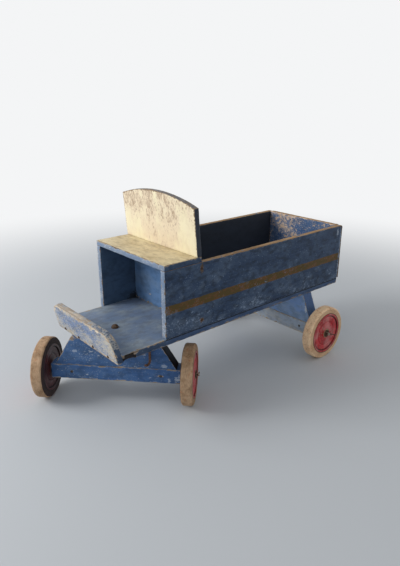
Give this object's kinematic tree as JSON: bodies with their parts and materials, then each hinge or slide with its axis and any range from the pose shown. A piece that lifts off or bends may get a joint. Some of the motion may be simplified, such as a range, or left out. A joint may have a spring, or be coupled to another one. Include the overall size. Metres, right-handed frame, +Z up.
{
  "type": "children's wooden cart",
  "caption": "Child's wooden ride-on cart: seat box with arched back, open cargo box, front deck with nose board, front axle that steers on a kingpin, rubber-tyred wheels.",
  "frame": {"origin": "on the ground under the middle of the cart's outer box, on the line through the kingpin and the middle of the rear axle", "axes": "+X forward along the cart, +Y to the cart's left, +Z up"},
  "size_m": [1.0618, 0.5216, 0.5977],
  "materials": {
    "dark_blue_paint": "worn satin paint",
    "grey_blue_paint": "worn satin paint",
    "bright_blue_paint": "worn satin paint",
    "pale_blue_paint": "worn satin paint",
    "cream_paint": "worn satin paint",
    "red_paint": "worn satin paint",
    "old_rubber": "matte",
    "rusty_steel": "rusty",
    "dark_steel": "dull"
  },
  "bodies": {
    "wagon_body": {"floor_board": "grey_blue_paint", "side_panel_left": "dark_blue_paint", "side_panel_right": "dark_blue_paint", "partition": "grey_blue_paint", "tailboard": "grey_blue_paint", "seat_board": "cream_paint", "seat_back": "cream_paint", "nose_board": "grey_blue_paint", "nose_screws": "rusty_steel", "partition_screws_left": "rusty_steel", "partition_screws_right": "rusty_steel", "rear_bolster": "pale_blue_paint", "rear_axle_beam": "pale_blue_paint", "rear_lock_screws": "dark_steel", "axle_pin_rear_left": "dark_steel", "axle_pin_rear_right": "dark_steel", "turning_plate_floor": "dark_steel", "kingpin_bolt": "rusty_steel", "kingpin_washer": "dark_steel", "kingpin_nut": "dark_steel", "inner_washer_rear_left": "dark_steel", "inner_washer_rear_right": "dark_steel", "outer_washer_rear_left": "dark_steel", "outer_washer_rear_right": "dark_steel", "cotter_rear_left": "dark_steel", "cotter_rear_right": "dark_steel"},
    "front_axle": {"turning_plate_bolster": "dark_steel", "pivot_washer": "dark_steel", "front_bolster": "bright_blue_paint", "front_axle_beam": "bright_blue_paint", "front_lock_screws": "dark_steel", "axle_pin_front_left": "dark_steel", "axle_pin_front_right": "dark_steel", "rope_hook": "rusty_steel", "inner_washer_front_left": "dark_steel", "outer_washer_front_left": "dark_steel", "cotter_front_left": "dark_steel", "inner_washer_front_right": "dark_steel", "outer_washer_front_right": "dark_steel", "cotter_front_right": "dark_steel"},
    "wheel_front_left": {"tyre_front_left": "old_rubber", "disc_front_left": "red_paint", "bush_front_left": "dark_steel"},
    "wheel_front_right": {"tyre_front_right": "old_rubber", "disc_front_right": "red_paint", "bush_front_right": "dark_steel"},
    "wheel_rear_left": {"tyre_rear_left": "old_rubber", "disc_rear_left": "red_paint", "bush_rear_left": "dark_steel"},
    "wheel_rear_right": {"tyre_rear_right": "old_rubber", "disc_rear_right": "red_paint", "bush_rear_right": "dark_steel"}
  },
  "joints": [
    {"name": "steer", "type": "hinge", "parent": "wagon_body", "child": "front_axle", "pos_m": [0.31114, 0, 0.184], "axis": [0, 0, 1], "continuous": true},
    {"name": "spin_front_left", "type": "hinge", "parent": "front_axle", "child": "wheel_front_left", "pos_m": [0.16594, 0.15571, 0.09], "axis": [-0.682, 0.7314, 0], "continuous": true},
    {"name": "spin_front_right", "type": "hinge", "parent": "front_axle", "child": "wheel_front_right", "pos_m": [0.45634, -0.15571, 0.09], "axis": [-0.682, 0.7314, 0], "continuous": true},
    {"name": "spin_rear_left", "type": "hinge", "parent": "wagon_body", "child": "wheel_rear_left", "pos_m": [-0.35886, 0.2319, 0.09], "axis": [0, 1, 0], "continuous": true},
    {"name": "spin_rear_right", "type": "hinge", "parent": "wagon_body", "child": "wheel_rear_right", "pos_m": [-0.35886, -0.2319, 0.09], "axis": [0, 1, 0], "continuous": true}
  ]
}
